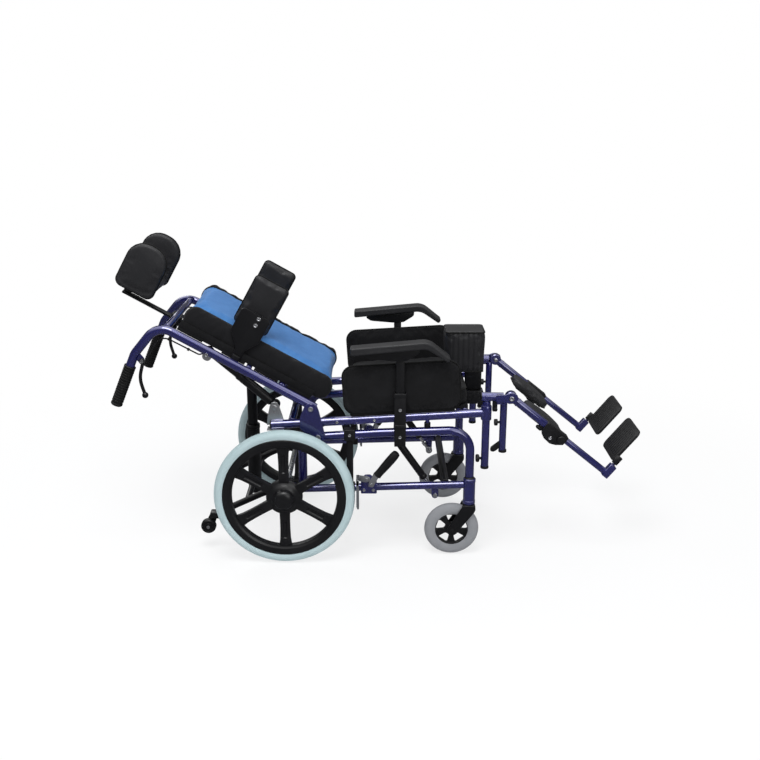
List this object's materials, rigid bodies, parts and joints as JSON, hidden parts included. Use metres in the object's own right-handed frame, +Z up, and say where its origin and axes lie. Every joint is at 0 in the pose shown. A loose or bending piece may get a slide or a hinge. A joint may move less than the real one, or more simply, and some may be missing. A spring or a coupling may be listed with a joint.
{
  "type": "reclining wheelchair",
  "caption": "Attendant-pushed wheelchair whose padded back reclines and whose seat tilts, with spoked rear wheels, front castors, winged headrest and raised legrests.",
  "frame": {"origin": "on the floor, under the middle of the chair's length and width", "axes": "+X is the chair's front, +Y its left side, +Z up; rear axle along Y"},
  "size_m": [1.5046, 0.582, 0.8959],
  "materials": {
    "indigo_paint": "deep metallic indigo paint",
    "black_paint": "satin black paint",
    "bright_metal": "bright plated steel",
    "moulded_black": "moulded black plastic",
    "padding_black": "black padded cover",
    "cushion_blue": "mid blue stretch fabric with black sides",
    "armrest_black": "black moulded foam with a soft sheen",
    "tyre_grey": "pale blue-grey solid rubber",
    "castor_grey": "mid grey solid rubber on a black hub"
  },
  "bodies": {
    "base": {"base_side_frame_R": "indigo_paint", "base_side_frame_L": "indigo_paint", "base_cross_tube": "black_paint", "rear_axle": "bright_metal", "anti_tip_frame": "black_paint", "brake_bracket_R": "bright_metal", "brake_bracket_L": "bright_metal"},
    "seat": {"seat_frame": "indigo_paint", "seat_pan": "moulded_black", "seat_cushion": "cushion_blue", "side_panel_R": "padding_black", "side_panel_L": "padding_black", "armrest_socket_R": "moulded_black", "armrest_socket_L": "moulded_black"},
    "back": {"back_frame": "indigo_paint", "back_panel": "moulded_black", "back_cushion": "cushion_blue", "push_grip_R": "moulded_black", "push_grip_L": "moulded_black"},
    "pommel": {"pommel": "padding_black"},
    "headrest_slider": {"headrest_stem": "bright_metal"},
    "headrest": {"headrest_pad": "padding_black"},
    "rear_wheel_R": {"rear_rim_R": "moulded_black", "rear_tyre_R": "tyre_grey"},
    "castor_swivel_R": {"castor_fork_R": "black_paint"},
    "castor_roller_R": {"castor_wheel_R": "castor_grey"},
    "anti_tip_roller_R": {"anti_tip_wheel_R": "moulded_black"},
    "brake_handle_R": {"brake_lever_R": "moulded_black"},
    "brake_pad_R": {"brake_shoe_R": "bright_metal"},
    "armrest_R": {"armrest_post_R": "black_paint", "armrest_pad_R": "armrest_black"},
    "hanger_R": {"legrest_hanger_R": "indigo_paint"},
    "leg_R": {"leg_tube_R": "indigo_paint", "calf_pad_R": "padding_black"},
    "foot_R": {"footplate_R": "moulded_black"},
    "recline_body_R": {"recline_cylinder_R": "black_paint"},
    "recline_piston_R": {"recline_rod_R": "black_paint"},
    "tilt_body_R": {"tilt_rod_R": "bright_metal"},
    "tilt_piston_R": {"tilt_cylinder_R": "black_paint"},
    "handle_lever_R": {"hand_lever_R": "black_paint"},
    "lateral_R": {"lateral_support_R": "padding_black"},
    "rear_wheel_L": {"rear_rim_L": "moulded_black", "rear_tyre_L": "tyre_grey"},
    "castor_swivel_L": {"castor_fork_L": "black_paint"},
    "castor_roller_L": {"castor_wheel_L": "castor_grey"},
    "anti_tip_roller_L": {"anti_tip_wheel_L": "moulded_black"},
    "brake_handle_L": {"brake_lever_L": "moulded_black"},
    "brake_pad_L": {"brake_shoe_L": "bright_metal"},
    "armrest_L": {"armrest_post_L": "black_paint", "armrest_pad_L": "armrest_black"},
    "hanger_L": {"legrest_hanger_L": "indigo_paint"},
    "leg_L": {"leg_tube_L": "indigo_paint", "calf_pad_L": "padding_black"},
    "foot_L": {"footplate_L": "moulded_black"},
    "recline_body_L": {"recline_cylinder_L": "black_paint"},
    "recline_piston_L": {"recline_rod_L": "black_paint"},
    "tilt_body_L": {"tilt_rod_L": "bright_metal"},
    "tilt_piston_L": {"tilt_cylinder_L": "black_paint"},
    "handle_lever_L": {"hand_lever_L": "black_paint"},
    "lateral_L": {"lateral_support_L": "padding_black"}
  },
  "joints": [
    {"name": "seat_tilt", "type": "hinge", "parent": "base", "child": "seat", "pos_m": [-0.17057, 0, 0.365], "axis": [0, -1, 0], "range_deg": [0, 20]},
    {"name": "back_recline", "type": "hinge", "parent": "seat", "child": "back", "pos_m": [-0.18957, 0, 0.449], "axis": [0, 1, 0], "range_deg": [-10, 55]},
    {"name": "pommel_lift", "type": "slide", "parent": "seat", "child": "pommel", "axis": [0, 0, 1], "range_m": [0, 0.1]},
    {"name": "headrest_height", "type": "slide", "parent": "back", "child": "headrest_slider", "axis": [-0.8711, 0, 0.4911], "range_m": [-0.03, 0.05]},
    {"name": "headrest_tilt", "type": "hinge", "parent": "headrest_slider", "child": "headrest", "pos_m": [-0.72758, 0, 0.74884], "axis": [0, 1, 0], "range_deg": [-20, 20]},
    {"name": "rear_wheel_spin_R", "type": "hinge", "parent": "base", "child": "rear_wheel_R", "pos_m": [-0.26657, -0.25, 0.2], "axis": [0, 1, 0], "continuous": true},
    {"name": "castor_swivel_turn_R", "type": "hinge", "parent": "base", "child": "castor_swivel_R", "pos_m": [0.26143, -0.2, 0.158], "axis": [0, 0, 1], "continuous": true},
    {"name": "castor_wheel_spin_R", "type": "hinge", "parent": "castor_swivel_R", "child": "castor_roller_R", "pos_m": [0.21243, -0.2, 0.079], "axis": [0, 1, 0], "continuous": true},
    {"name": "anti_tip_wheel_spin_R", "type": "hinge", "parent": "base", "child": "anti_tip_roller_R", "pos_m": [-0.50057, -0.17, 0.072], "axis": [0, 1, 0], "continuous": true},
    {"name": "brake_lever_turn_R", "type": "hinge", "parent": "base", "child": "brake_handle_R", "pos_m": [-0.02057, -0.2155, 0.222], "axis": [0, 1, 0], "range_deg": [0, 35]},
    {"name": "brake_shoe_turn_R", "type": "hinge", "parent": "base", "child": "brake_pad_R", "pos_m": [-0.03257, -0.221, 0.24], "axis": [0, 1, 0], "range_deg": [0, 4.2]},
    {"name": "armrest_height_R", "type": "slide", "parent": "seat", "child": "armrest_R", "axis": [0, 0, 1], "range_m": [0, 0.07]},
    {"name": "legrest_swing_R", "type": "hinge", "parent": "seat", "child": "hanger_R", "pos_m": [0.30393, -0.195, 0.48], "axis": [0, 0, -1], "range_deg": [0, 90]},
    {"name": "legrest_elevation_R", "type": "hinge", "parent": "hanger_R", "child": "leg_R", "pos_m": [0.37193, -0.195, 0.479], "axis": [0, -1, 0], "range_deg": [-35, 35]},
    {"name": "footplate_flip_R", "type": "hinge", "parent": "leg_R", "child": "foot_R", "pos_m": [0.67616, -0.19, 0.27628], "axis": [0.6295, 0, 0.777], "range_deg": [0, 90]},
    {"name": "recline_cylinder_turn_R", "type": "hinge", "parent": "seat", "child": "recline_body_R", "pos_m": [-0.29357, -0.16, 0.446], "axis": [0, 1, 0], "range_deg": [-13, 64]},
    {"name": "recline_rod_slide_R", "type": "slide", "parent": "recline_body_R", "child": "recline_piston_R", "axis": [-0.7533, 0, 0.6576], "range_m": [-0.0175, 0.092]},
    {"name": "tilt_cylinder_turn_R", "type": "hinge", "parent": "base", "child": "tilt_body_R", "pos_m": [0.16343, -0.17, 0.18], "axis": [0, 1, 0], "range_deg": [0, 11]},
    {"name": "tilt_rod_slide_R", "type": "slide", "parent": "tilt_body_R", "child": "tilt_piston_R", "axis": [-0.5681, 0, 0.823], "range_m": [0, 0.078]},
    {"name": "hand_lever_squeeze_R", "type": "hinge", "parent": "back", "child": "handle_lever_R", "pos_m": [-0.65457, -0.203, 0.585], "axis": [0, 1, 0], "range_deg": [0, 20], "stiffness_Nm_per_rad": 0.5, "springref_deg": -11.46},
    {"name": "lateral_height_R", "type": "slide", "parent": "back", "child": "lateral_R", "axis": [-0.8711, 0, 0.4911], "range_m": [0, 0.06]},
    {"name": "rear_wheel_spin_L", "type": "hinge", "parent": "base", "child": "rear_wheel_L", "pos_m": [-0.26657, 0.25, 0.2], "axis": [0, 1, 0], "continuous": true},
    {"name": "castor_swivel_turn_L", "type": "hinge", "parent": "base", "child": "castor_swivel_L", "pos_m": [0.26143, 0.2, 0.158], "axis": [0, 0, 1], "continuous": true},
    {"name": "castor_wheel_spin_L", "type": "hinge", "parent": "castor_swivel_L", "child": "castor_roller_L", "pos_m": [0.21243, 0.2, 0.079], "axis": [0, 1, 0], "continuous": true},
    {"name": "anti_tip_wheel_spin_L", "type": "hinge", "parent": "base", "child": "anti_tip_roller_L", "pos_m": [-0.50057, 0.17, 0.072], "axis": [0, 1, 0], "continuous": true},
    {"name": "brake_lever_turn_L", "type": "hinge", "parent": "base", "child": "brake_handle_L", "pos_m": [-0.02057, 0.2155, 0.222], "axis": [0, 1, 0], "range_deg": [0, 35]},
    {"name": "brake_shoe_turn_L", "type": "hinge", "parent": "base", "child": "brake_pad_L", "pos_m": [-0.03257, 0.221, 0.24], "axis": [0, 1, 0], "range_deg": [0, 4.2]},
    {"name": "armrest_height_L", "type": "slide", "parent": "seat", "child": "armrest_L", "axis": [0, 0, 1], "range_m": [0, 0.07]},
    {"name": "legrest_swing_L", "type": "hinge", "parent": "seat", "child": "hanger_L", "pos_m": [0.30393, 0.195, 0.48], "axis": [0, 0, 1], "range_deg": [0, 90]},
    {"name": "legrest_elevation_L", "type": "hinge", "parent": "hanger_L", "child": "leg_L", "pos_m": [0.37193, 0.195, 0.479], "axis": [0, -1, 0], "range_deg": [-35, 35]},
    {"name": "footplate_flip_L", "type": "hinge", "parent": "leg_L", "child": "foot_L", "pos_m": [0.67616, 0.19, 0.27628], "axis": [-0.6295, 0, -0.777], "range_deg": [0, 90]},
    {"name": "recline_cylinder_turn_L", "type": "hinge", "parent": "seat", "child": "recline_body_L", "pos_m": [-0.29357, 0.16, 0.446], "axis": [0, 1, 0], "range_deg": [-13, 64]},
    {"name": "recline_rod_slide_L", "type": "slide", "parent": "recline_body_L", "child": "recline_piston_L", "axis": [-0.7533, 0, 0.6576], "range_m": [-0.0175, 0.092]},
    {"name": "tilt_cylinder_turn_L", "type": "hinge", "parent": "base", "child": "tilt_body_L", "pos_m": [0.16343, 0.17, 0.18], "axis": [0, 1, 0], "range_deg": [0, 11]},
    {"name": "tilt_rod_slide_L", "type": "slide", "parent": "tilt_body_L", "child": "tilt_piston_L", "axis": [-0.5681, 0, 0.823], "range_m": [0, 0.078]},
    {"name": "hand_lever_squeeze_L", "type": "hinge", "parent": "back", "child": "handle_lever_L", "pos_m": [-0.65457, 0.203, 0.585], "axis": [0, 1, 0], "range_deg": [0, 20], "stiffness_Nm_per_rad": 0.5, "springref_deg": -11.46},
    {"name": "lateral_height_L", "type": "slide", "parent": "back", "child": "lateral_L", "axis": [-0.8711, 0, 0.4911], "range_m": [0, 0.06]}
  ],
  "couplings": [
    {"joint": "brake_shoe_turn_R", "follows": "brake_lever_turn_R", "ratio": 0.11429},
    {"joint": "recline_cylinder_turn_R", "follows": "back_recline", "ratio": 1.13},
    {"joint": "recline_rod_slide_R", "follows": "back_recline", "m_per_rad": 0.091673},
    {"joint": "tilt_cylinder_turn_R", "follows": "seat_tilt", "ratio": 0.47},
    {"joint": "tilt_rod_slide_R", "follows": "seat_tilt", "m_per_rad": 0.2034},
    {"joint": "brake_shoe_turn_L", "follows": "brake_lever_turn_L", "ratio": 0.11429},
    {"joint": "recline_cylinder_turn_L", "follows": "back_recline", "ratio": 1.13},
    {"joint": "recline_rod_slide_L", "follows": "back_recline", "m_per_rad": 0.091673},
    {"joint": "tilt_cylinder_turn_L", "follows": "seat_tilt", "ratio": 0.47},
    {"joint": "tilt_rod_slide_L", "follows": "seat_tilt", "m_per_rad": 0.2034}
  ]
}
